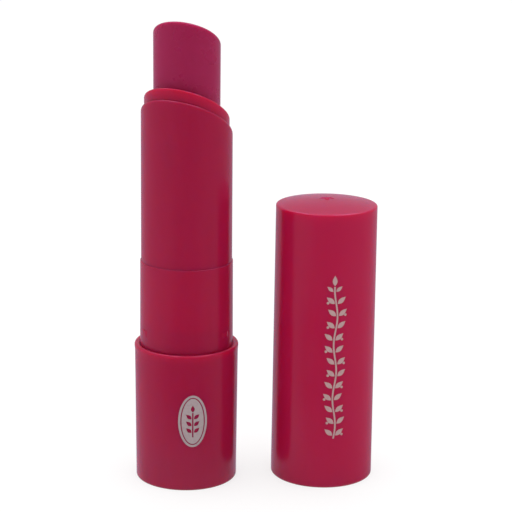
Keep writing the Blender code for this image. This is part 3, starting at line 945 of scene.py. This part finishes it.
@dataclass
class Bullet:
    """The lipstick itself: a round bar of wax whose tip is cut on a slant."""

    finish: Material
    radius: float = 6.05
    foot: float = 54.25
    tip: float = 83.08
    edge: float = 0.71
    foot_chamfer: float = 0.6
    tilt: float = 29.0
    turn: float = 73.8
    crown: float = 0.12
    crown_rings: tuple[float, ...] = (0.97, 0.85, 0.7, 0.5, 0.3, 0.1, 0.0)
    edge_end: float = 86.0

    def mesh(self) -> Mesh:
        """Makes the bar, with a soft edge round its slanted face and a slight crown on the face.

        Returns:
            The mesh.
        """
        rim, chamfer_top = self.tip - self.edge, self.foot + self.foot_chamfer
        outline = [(0.0, self.foot)]
        outline += wall((self.radius - self.foot_chamfer, self.foot), (self.radius, chamfer_top))
        outline += wall((self.radius, chamfer_top), (self.radius, rim))
        outline += arc((self.radius - self.edge, rim), self.edge, 0, self.edge_end, RIM_STEPS)
        face = outline[-1][0]
        outline += [(face * s, self.tip - self.crown * s * s) for s in self.crown_rings]
        made = revolve(outline)
        slant(made, rim - SLANT_MARGIN, self.tilt, self.turn)
        return made

    def build(self) -> None:
        """Adds the bullet."""
        add_piece("raised_bullet", self.mesh(), self.finish, Body.CARRIER, ("bullet",))


@dataclass
class HiddenWorks:
    """The pieces inside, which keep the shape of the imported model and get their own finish."""

    acetal: Material
    rubber: Material

    def build(self) -> None:
        """Puts the finishes on the spiral sleeve, the carrier cup and the brake ring."""
        dressed = {"spiral_sleeve": self.acetal, "carrier_cup": self.acetal, "brake_ring": self.rubber}
        for name, finish in dressed.items():
            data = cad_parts[name].data
            data.materials.clear()
            data.materials.append(finish)
            LOG.info("%s: dressed in %s", name, finish.name)


@dataclass
class Cap:
    """The cap: a drafted shell with a low dome and a moulding gate mark."""

    finish: Material
    place: Point = (25.7395, 2.3336)
    height: float = 52.18
    dome: float = 0.95
    roof: float = 1.0
    mouth_radius: float = 9.603
    top_radius: float = 9.37
    mouth_bore: float = 8.753
    top_bore: float = 8.52
    mouth_edge: float = 0.12
    top_edge: float = 0.36
    top_edge_reach: float = 0.55
    top_edge_end: float = 78.0
    dome_rings: tuple[float, ...] = (0.96, 0.88, 0.78, 0.65, 0.52, 0.4, 0.28, 0.18)
    roof_fillet: float = 0.8
    catch_foot: float = 1.7
    catch_height: float = 0.8
    catch_stand: float = 0.06
    gate_radius: float = 1.25
    gate_depth: float = 0.12
    gate_edge: float = 0.05
    gate_fillet: float = 0.11
    gate_nub: float = 0.42
    gate_nub_height: float = 0.28
    gate_nub_edge: Point = (0.36, 0.23)

    def mesh(self) -> Mesh:
        """Makes the shell.

        Returns:
            The mesh, standing on its mouth.
        """
        rim = self.height - self.top_edge
        dome_radius = self.top_radius - self.top_edge_reach
        crown = self.height + self.dome
        floor = crown - self.gate_depth
        outline = arc((self.mouth_bore + self.mouth_edge, self.mouth_edge), self.mouth_edge, 180, 270)
        outline += arc((self.mouth_radius - self.mouth_edge, self.mouth_edge), self.mouth_edge, -90, 0)
        outline += wall((self.mouth_radius, self.mouth_edge), (self.top_radius, rim))
        reach, end = self.top_edge_reach, self.top_edge_end
        outline += arc((dome_radius, rim), reach, 0, end, steps=9, rise=self.top_edge)
        outline += [(dome_radius * s, self.height + self.dome * (1 - s * s)) for s in self.dome_rings]
        gate_edge, fillet = self.gate_edge, self.gate_fillet
        outline += arc((self.gate_radius + gate_edge, crown - gate_edge), gate_edge, 90, 180, steps=4)
        outline += arc((self.gate_radius - self.gate_depth, floor + fillet), fillet, 0, -90, steps=4)
        outline += arc((self.gate_nub + gate_edge, floor + gate_edge), gate_edge, 270, 180, steps=3)
        edge, rise = self.gate_nub_edge
        nub_top = floor + self.gate_nub_height
        outline += arc((self.gate_nub - edge, nub_top - rise), edge, 0, 90, steps=8, rise=rise)
        outline.append((0.0, nub_top))
        inside = [(0.0, self.height - self.roof)]
        roof_edge = self.height - self.roof - self.roof_fillet
        inside += arc((self.top_bore - self.roof_fillet, roof_edge), self.roof_fillet, 90, 0)
        inside += wall((self.top_bore, roof_edge), (self.mouth_bore, self.catch_foot + self.catch_height))
        inside.append((self.mouth_bore - self.catch_stand, self.catch_foot + self.catch_height / 2))
        inside.append((self.mouth_bore, self.catch_foot))
        made = revolve(inside + outline)
        bmesh.ops.translate(made, vec=(self.place[0] * MM, self.place[1] * MM, 0.0), verts=made.verts)
        return made

    def build(self) -> None:
        """Adds the cap."""
        add_piece("cap_shell", self.mesh(), self.finish, Body.CAP, ("cap",))


def leaf(base: Point, lean: float, length: float, half_width: float, steps: int = 12) -> Outline:
    """Outline of an almond-shaped leaf.

    Args:
        base: Where the leaf starts.
        lean: Angle of its midrib from straight up, in degrees, positive to the right.
        length: Length of the leaf.
        half_width: Half of its greatest width.
        steps: Number of points along each side.

    Returns:
        The closed outline.
    """
    right, up = math.sin(math.radians(lean)), math.cos(math.radians(lean))
    sides = []
    for side in (1, -1):
        edge = []
        for i in range(steps + 1):
            s = i / steps
            inside = 0 < i < steps
            out = side * half_width * math.sin(math.pi * s**LEAF_BULGE) ** LEAF_POINT if inside else 0.0
            along = length * s
            edge.append((base[0] + right * along + up * out, base[1] + up * along - right * out))
        sides.append(edge)
    return sides[0] + sides[1][-2:0:-1]


def ellipse(middle: Point, half_width: float, half_height: float, steps: int = 72) -> Outline:
    """Outline of an upright ellipse.

    Args:
        middle: Its centre.
        half_width: Half of its width.
        half_height: Half of its height.
        steps: Number of points.

    Returns:
        The closed outline.
    """
    angles = [math.tau * i / steps for i in range(steps)]
    return [(middle[0] + half_width * math.cos(a), middle[1] + half_height * math.sin(a)) for a in angles]


@dataclass
class Print(ABC):
    """A flat design that is laid round a drafted shell as a thin film."""

    name: str
    finish: Material
    body: Body
    axis: Point
    bearing: float
    shell_foot: Point
    shell_top: Point
    film: float = 0.014
    bite: float = 0.012
    strip: float = 0.25
    weld: float = 1e-4
    areas: list[list[Outline]] = field(default_factory=list)

    @abstractmethod
    def draw(self) -> None:
        """Draws the areas of the design."""

    def flat_area(self, loops: list[Outline]) -> bpy.types.Mesh:
        """Fills an outline, less the outlines inside it.

        Args:
            loops: The outer outline and then its holes, in millimetres.

        Returns:
            Faces in the plane of width and height.
        """
        curve = bpy.data.curves.new(self.name, "CURVE")
        curve.dimensions = "2D"
        curve.fill_mode = "BOTH"
        for loop in loops:
            spline = curve.splines.new("POLY")
            spline.points.add(len(loop) - 1)
            for point, (across, height) in zip(spline.points, loop):
                point.co = (across, height, 0.0, 1.0)
            spline.use_cyclic_u = True
        thing = bpy.data.objects.new(self.name, curve)
        bpy.context.scene.collection.objects.link(thing)
        shaped = thing.evaluated_get(bpy.context.evaluated_depsgraph_get())
        data = bpy.data.meshes.new_from_object(shaped)
        bpy.data.objects.remove(thing)
        bpy.data.curves.remove(curve)
        return data

    def shell_radius(self, height: float) -> float:
        """Radius of the shell at a height, along its draft."""
        (low_radius, low), (top_radius, top) = self.shell_foot, self.shell_top
        return low_radius + (top_radius - low_radius) * (height - low) / (top - low)

    def mesh(self) -> Mesh:
        """Lays every area round the shell.

        Returns:
            The film, in metres.
        """
        flat = bmesh.new()
        for loops in self.areas:
            data = self.flat_area(loops)
            flat.from_mesh(data)
            bpy.data.meshes.remove(data)
        bmesh.ops.remove_doubles(flat, verts=flat.verts, dist=self.weld)
        reach = max(abs(v.co.x) for v in flat.verts)
        count = math.ceil(reach / self.strip)
        for i in range(-count, count + 1):
            everything = flat.verts[:] + flat.edges[:] + flat.faces[:]
            place = (i * self.strip, 0, 0)
            bmesh.ops.bisect_plane(flat, geom=everything, plane_co=place, plane_no=(1, 0, 0))
        for vert in flat.verts:
            vert.co.z = -self.bite
        raised = bmesh.ops.extrude_face_region(flat, geom=flat.faces[:])
        for vert in (v for v in raised["geom"] if isinstance(v, bmesh.types.BMVert)):
            vert.co.z = self.film
        bmesh.ops.recalc_face_normals(flat, faces=flat.faces)
        for vert in flat.verts:
            across, height, lift = vert.co
            radius = self.shell_radius(height)
            turn = math.radians(self.bearing - 90.0) + across / radius
            vert.co.x = (self.axis[0] + (radius + lift) * math.cos(turn)) * MM
            vert.co.y = (self.axis[1] + (radius + lift) * math.sin(turn)) * MM
            vert.co.z = height * MM
        return flat

    def build(self) -> None:
        """Draws and adds the print."""
        self.draw()
        add_piece(self.name, self.mesh(), self.finish, self.body)


@dataclass
class LeafGarland(Print):
    """A leafy twig that climbs the cap, printed to the right of its front."""

    foot: float = 9.7
    top: float = 40.9
    sway: float = 0.3
    sway_length: float = 10.4
    stem_half_width: float = 0.15
    leaf_step: float = 2.3
    leaf_length: float = 1.95
    leaf_half_width: float = 0.44
    leaf_lean: float = 50.0
    berry: float = 0.24
    berry_place: Point = (1.25, 0.15)
    berry_steps: int = 20
    stem_steps: int = 60
    foot_gap: float = 0.6
    leaf_gap: float = 0.12
    tip_gap: float = 0.15
    last_size: float = 0.75

    def stem(self, height: float) -> float:
        """How far the stem sways to the right at a height."""
        return self.sway * math.sin(math.tau * (height - self.foot) / self.sway_length)

    def draw(self) -> None:
        """Draws the stem, its pairs of leaves and the berries between them."""
        last = self.top - self.leaf_length - self.tip_gap
        steps = self.stem_steps
        heights = [self.foot + (last - self.foot) * i / steps for i in range(steps + 1)]
        right = [(self.stem(h) + self.stem_half_width, h) for h in heights]
        left = [(self.stem(h) - self.stem_half_width, h) for h in heights]
        self.areas.append([right + left[::-1]])
        tip = (self.stem(last), last + self.tip_gap)
        self.areas.append([leaf(tip, 0.0, self.leaf_length, self.leaf_half_width)])
        count = int((last - self.foot - self.foot_gap) / self.leaf_step)
        for i in range(count + 1):
            height = self.foot + self.foot_gap + self.leaf_step * i
            size = 1.0 if i < count else self.last_size
            for side in (1, -1):
                base = (self.stem(height) + side * (self.stem_half_width + self.leaf_gap), height)
                lean = side * self.leaf_lean
                self.areas.append([leaf(base, lean, self.leaf_length * size, self.leaf_half_width * size)])
                if i < count and (i + (side > 0)) % 2:
                    spot = (base[0] + side * self.berry_place[0], height + self.berry_place[1])
                    self.areas.append([ellipse(spot, self.berry, self.berry, self.berry_steps)])


@dataclass
class SprigMedallion(Print):
    """An upright oval field with a line inside its edge and a sprig left open in its middle."""

    middle_height: float = 13.56
    half_width: float = 2.7
    half_height: float = 5.0
    border: float = 0.42
    border_line: float = 0.2
    sprig_half_height: float = 3.1
    stem_half_width: float = 0.13
    leaf_length: float = 1.35
    leaf_half_width: float = 0.36
    leaf_lean: float = 48.0
    leaf_pairs: int = 3
    leaf_gap: float = 0.1
    first_pair: float = 0.9
    pair_room: float = 0.8

    def draw(self) -> None:
        """Draws the rim of the oval and its field with the open sprig."""
        middle = (0.0, self.middle_height)
        inner = self.border + self.border_line
        rim = ellipse(middle, self.half_width, self.half_height)
        rim_hole = ellipse(middle, self.half_width - self.border, self.half_height - self.border)
        self.areas.append([rim, rim_hole])
        loops = [ellipse(middle, self.half_width - inner, self.half_height - inner)]
        foot = self.middle_height - self.sprig_half_height
        top = self.middle_height + self.sprig_half_height
        stem_top = top - self.leaf_length - self.leaf_gap
        w = self.stem_half_width
        loops.append([(-w, foot), (w, foot), (w, stem_top), (-w, stem_top)])
        loops.append(leaf((0.0, stem_top + self.leaf_gap), 0.0, self.leaf_length, self.leaf_half_width))
        step = (stem_top - foot - self.pair_room) / self.leaf_pairs
        for i in range(self.leaf_pairs):
            height = foot + self.first_pair + step * i
            for side in (1, -1):
                base = (side * (w + self.leaf_gap), height)
                loops.append(leaf(base, side * self.leaf_lean, self.leaf_length, self.leaf_half_width))
        self.areas.append(loops)


@dataclass
class Studio:
    """Pale floor, soft light, the cards that shape the gloss, and the camera."""

    middle: Point = (12.8, 0.0)
    floor_size: float = 4000.0
    floor_drop: float = 0.02
    floor_colour: str = "F8F8F8"
    floor_roughness: float = 0.9
    floor_bounce_colour: str = "EEEEEE"
    # Painted shade: the floor's bounced colour darkens to this within the given reach of the pieces.
    floor_painted_shade_colour: str = "D6D6D6"
    floor_painted_shade_reach: Point = (20.0, 52.0)
    floor_own_white: float = 0.7
    sky_level: float = 1.02
    lamp_height: float = 900.0
    lamp_size: float = 700.0
    lamp_power: float = 2.8
    card_radius: float = 700.0
    card_lift: float = 0.3
    card_colour: str = "F8E0FF"
    card_mean: float = 0.346
    card_back: float = 0.162
    card_side: float = -0.05
    card_front: float = 0.067
    card_front_span: Point = (0.72, 1.0)
    card_near: float = 0.58
    card_near_middle: float = -9.0
    card_near_distance: float = 32.0
    card_near_power: float = 2.6
    card_dim: float = 0.1
    card_dim_middle: Point = (0.0, -82.0)
    card_dim_reach: Point = (30.0, 92.0)
    card_top: float = 2.6
    card_top_colour: str = "F0C8FF"
    card_top_span: Point = (0.66, 0.92)
    card_top_lean: float = 0.1
    card_gap: float = 0.35
    card_gap_span: Point = (0.06, 0.22)
    lens: float = 116.7
    sensor: float = 36.0
    clip: Point = (0.01, 20.0)
    camera_place: Triple = (12.795, -296.78, 118.22)
    camera_pitch: float = 75.708
    camera_roll: float = 0.703

    @property
    def centre(self) -> Triple:
        """Place on the ground between stick and cap, in metres."""
        return self.middle[0] * MM, self.middle[1] * MM, 0.0

    def white_rays(self, graph: Graph) -> Socket:
        """Adds the test for rays that see the plain white background.

        Args:
            graph: Node tree of the floor or the world.

        Returns:
            A socket that is one for camera, glossy and transmission rays.
        """
        rays = add_node(graph.tree, "ShaderNodeLightPath").outputs
        seen = graph.number("MAXIMUM", rays["Is Camera Ray"], rays["Is Glossy Ray"])
        return graph.number("MAXIMUM", seen, rays["Is Transmission Ray"])

    def add_floor(self) -> None:
        """Adds the floor, white to the camera but for the object's soft shadow, with painted shade in its
        bounced light near the pieces.
        """
        mesh = bmesh.new()
        bmesh.ops.create_grid(mesh, x_segments=1, y_segments=1, size=self.floor_size / 2 * MM)
        bmesh.ops.translate(mesh, vec=(0.0, 0.0, -self.floor_drop * MM), verts=mesh.verts)
        floor = plain_object("studio_floor", mesh)
        material, graph, shader = start_material("studio_paper")
        matt = {"Roughness": self.floor_roughness, "Specular IOR Level": 0.0}
        feed(graph.tree, shader, matt | {"Base Color": linear(self.floor_colour)})
        white = add_node(graph.tree, "ShaderNodeEmission", sockets={"Color": WHITE, "Strength": 1.0})
        seen = graph.either(self.floor_own_white, shader, white)
        # Painted shade: the floor's bounced colour is darker right next to the pieces, standing in for the
        # light that they take from the floor.
        reach = (self.floor_painted_shade_reach[0] * MM, self.floor_painted_shade_reach[1] * MM)
        unshaded_share = graph.spread(graph.vector("DISTANCE", graph.place, self.centre), reach, soft=True)
        shaded_bounce_colour = graph.blend(unshaded_share, self.floor_painted_shade_colour, self.floor_bounce_colour)
        bounce = add_node(graph.tree, "ShaderNodeBsdfDiffuse", sockets={"Color": shaded_bounce_colour})
        graph.show(graph.either(self.white_rays(graph), bounce, seen))
        floor.data.materials.append(material)

    def dome(self) -> bpy.types.Object:
        """Makes the dome that carries the cards, closed just above the floor.

        Returns:
            The dome, which only reflections see.
        """
        mesh = bmesh.new()
        bmesh.ops.create_uvsphere(mesh, u_segments=48, v_segments=24, radius=self.card_radius * MM)
        everything = mesh.verts[:] + mesh.edges[:] + mesh.faces[:]
        lift = (0, 0, self.card_lift * MM)
        bmesh.ops.bisect_plane(mesh, geom=everything, plane_co=lift, plane_no=(0, 0, -1), clear_outer=True)
        bmesh.ops.contextual_create(mesh, geom=[e for e in mesh.edges if e.is_boundary])
        bmesh.ops.translate(mesh, vec=self.centre, verts=mesh.verts)
        cards = plain_object("reflection_cards", mesh)
        cards.visible_camera = False
        cards.visible_diffuse = False
        cards.visible_transmission = False
        cards.visible_volume_scatter = False
        cards.visible_shadow = False
        return cards

    def wall_level(self, graph: Graph, away: Socket) -> Socket:
        """Adds the brightness of walls and ground, as the gloss on upright surfaces shows it.

        Args:
            graph: Node tree of the cards.
            away: Place on the cards, seen from the middle of the set.

        Returns:
            The brightness.
        """
        bearing = graph.vector("NORMALIZE", graph.vector("MULTIPLY", away, (1.0, 1.0, 0.0)))
        by_side = graph.vector("DOT_PRODUCT", bearing, (self.card_side, self.card_back, 0.0))
        frontness = graph.vector("DOT_PRODUCT", bearing, (0.0, -1.0, 0.0))
        front = graph.spread(frontness, self.card_front_span, (0.0, self.card_front), soft=True)
        far = graph.number("SUBTRACT", graph.number("ADD", by_side, self.card_mean), front)
        from_near = graph.vector("DISTANCE", graph.place, (self.card_near_middle * MM, 0.0, 0.0))
        reach = graph.number("DIVIDE", from_near, self.card_near_distance * MM)
        fade = graph.number("POWER", reach, self.card_near_power)
        nearness = graph.number("DIVIDE", 1.0, graph.number("ADD", fade, 1.0))
        # The ground before the pieces is dimmer, where whoever takes the picture stands in the light.
        dim_middle = (self.card_dim_middle[0] * MM, self.card_dim_middle[1] * MM, 0.0)
        dim_reach = (self.card_dim_reach[0] * MM, self.card_dim_reach[1] * MM)
        from_dim = graph.vector("DISTANCE", graph.place, dim_middle)
        dimming = graph.spread(from_dim, dim_reach, (self.card_dim, 1.0), soft=True)
        return graph.between(nearness, graph.number("MULTIPLY", far, dimming), self.card_near)

    def softboxes(self, graph: Graph, away: Socket) -> Socket:
        """Adds the two softboxes that hang side by side, with a dimmer strip between them.

        Args:
            graph: Node tree of the cards.
            away: Place on the cards, seen from the middle of the set.

        Returns:
            A socket that is one on the softboxes and zero beside them.
        """
        rise = graph.vector("NORMALIZE", away)
        lean = (0.0, self.card_top_lean, math.sqrt(1.0 - self.card_top_lean**2))
        overhead = graph.spread(graph.vector("DOT_PRODUCT", rise, lean), self.card_top_span, soft=True)
        across = add_node(graph.tree, "ShaderNodeSeparateXYZ", sockets={0: rise}).outputs["X"]
        aside = graph.number("ABSOLUTE", across)
        boxes = graph.spread(aside, self.card_gap_span, (self.card_gap, 1.0), soft=True)
        return graph.number("MULTIPLY", overhead, boxes)

    def add_cards(self) -> None:
        """Adds the grey cards round the set, which only reflections see."""
        cards = self.dome()
        material, graph, shader = start_material("grey_card")
        graph.tree.nodes.remove(shader)
        away = graph.vector("SUBTRACT", graph.place, self.centre)
        softboxes = self.softboxes(graph, away)
        tint = graph.blend(softboxes, self.card_colour, self.card_top_colour)
        level = graph.between(softboxes, self.wall_level(graph, away), self.card_top)
        graph.show(add_node(graph.tree, "ShaderNodeEmission", sockets={"Color": tint, "Strength": level}))
        material.cycles.emission_sampling = "NONE"
        cards.data.materials.append(material)

    def add_sky(self) -> None:
        """Sets the world: white behind the object, and even light from all sides."""
        world = bpy.data.worlds.new("studio_sky")
        world.use_nodes = True
        bpy.context.scene.world = world
        graph = Graph(world.node_tree)
        seen = add_node(graph.tree, "ShaderNodeBackground", sockets={"Color": WHITE, "Strength": 1.0})
        lit = graph.tree.nodes["Background"]
        feed(graph.tree, lit, {"Color": WHITE, "Strength": self.sky_level})
        graph.show(graph.either(self.white_rays(graph), lit, seen), "World Output")

    def add_lamp(self) -> None:
        """Adds the soft lamp overhead."""
        lamp = bpy.data.lights.new("overhead_softbox", "AREA")
        lamp.shape = "DISK"
        lamp.size = self.lamp_size * MM
        lamp.energy = self.lamp_power
        thing = bpy.data.objects.new("overhead_softbox", lamp)
        thing.location = (self.middle[0] * MM, self.middle[1] * MM, self.lamp_height * MM)
        thing.visible_glossy = False
        bpy.context.scene.collection.objects.link(thing)

    def add_camera(self) -> None:
        """Adds the camera at the photograph's viewing angle."""
        data = bpy.data.cameras.new("studio_camera")
        data.lens = self.lens
        data.sensor_width = self.sensor
        data.clip_start, data.clip_end = self.clip
        camera = bpy.data.objects.new("studio_camera", data)
        pitch = Matrix.Rotation(math.radians(self.camera_pitch), 4, "X")
        roll = Matrix.Rotation(math.radians(self.camera_roll), 4, "Z")
        camera.matrix_world = Matrix.Translation([c * MM for c in self.camera_place]) @ pitch @ roll
        bpy.context.scene.collection.objects.link(camera)
        bpy.context.scene.camera = camera

    def build(self) -> None:
        """Sets up the whole studio."""
        bpy.context.scene.view_settings.view_transform = "Standard"
        self.add_floor()
        self.add_cards()
        self.add_sky()
        self.add_lamp()
        self.add_camera()
        LOG.info("studio: floor, cards, sky, lamp and camera")


def main() -> None:
    """Builds the studio and every piece of the lipstick."""
    logging.basicConfig(level=logging.INFO, format="%(message)s")
    Studio().build()
    shell = MouldedStyrene("moulded_shell_styrene", colour="A2113C", cloud_colour="9F103A").make()
    cap_shell = MouldedStyrene("moulded_cap_styrene", colour="AB1140", cloud_colour="A8103E", glow=0.6).make()
    wax = PouredWax("poured_lipstick_wax", colour="981A4A", bloom_colour="961B4B").make()
    acetal = NaturalAcetal("moulded_acetal").make()
    rubber = SiliconeRubber("moulded_silicone_rubber").make()
    cap_ink = PadPrintedInk("pad_printed_cap_ink", colour="B19190", patch_colour="A98285").make()
    foot_ink = PadPrintedInk("pad_printed_foot_ink", colour="A29395", patch_colour="9B8489").make()
    foot, tube, bullet, cap = Foot(shell), TurningTube(shell), Bullet(wax), Cap(cap_shell)
    garland = LeafGarland(
        "leaf_garland",
        cap_ink,
        Body.CAP,
        axis=cap.place,
        bearing=10.5,
        shell_foot=(cap.mouth_radius, cap.mouth_edge),
        shell_top=(cap.top_radius, cap.height - cap.top_edge),
    )
    medallion = SprigMedallion(
        "sprig_medallion",
        foot_ink,
        Body.FOOT,
        axis=(0.0, 0.0),
        bearing=9.5,
        shell_foot=(foot.foot_radius, foot.foot_edge),
        shell_top=(foot.rim_radius, foot.height - foot.rim_rise),
    )
    for piece in (foot, tube, bullet, HiddenWorks(acetal, rubber), cap, garland, medallion):
        piece.build()


if __name__ == "__main__":
    main()
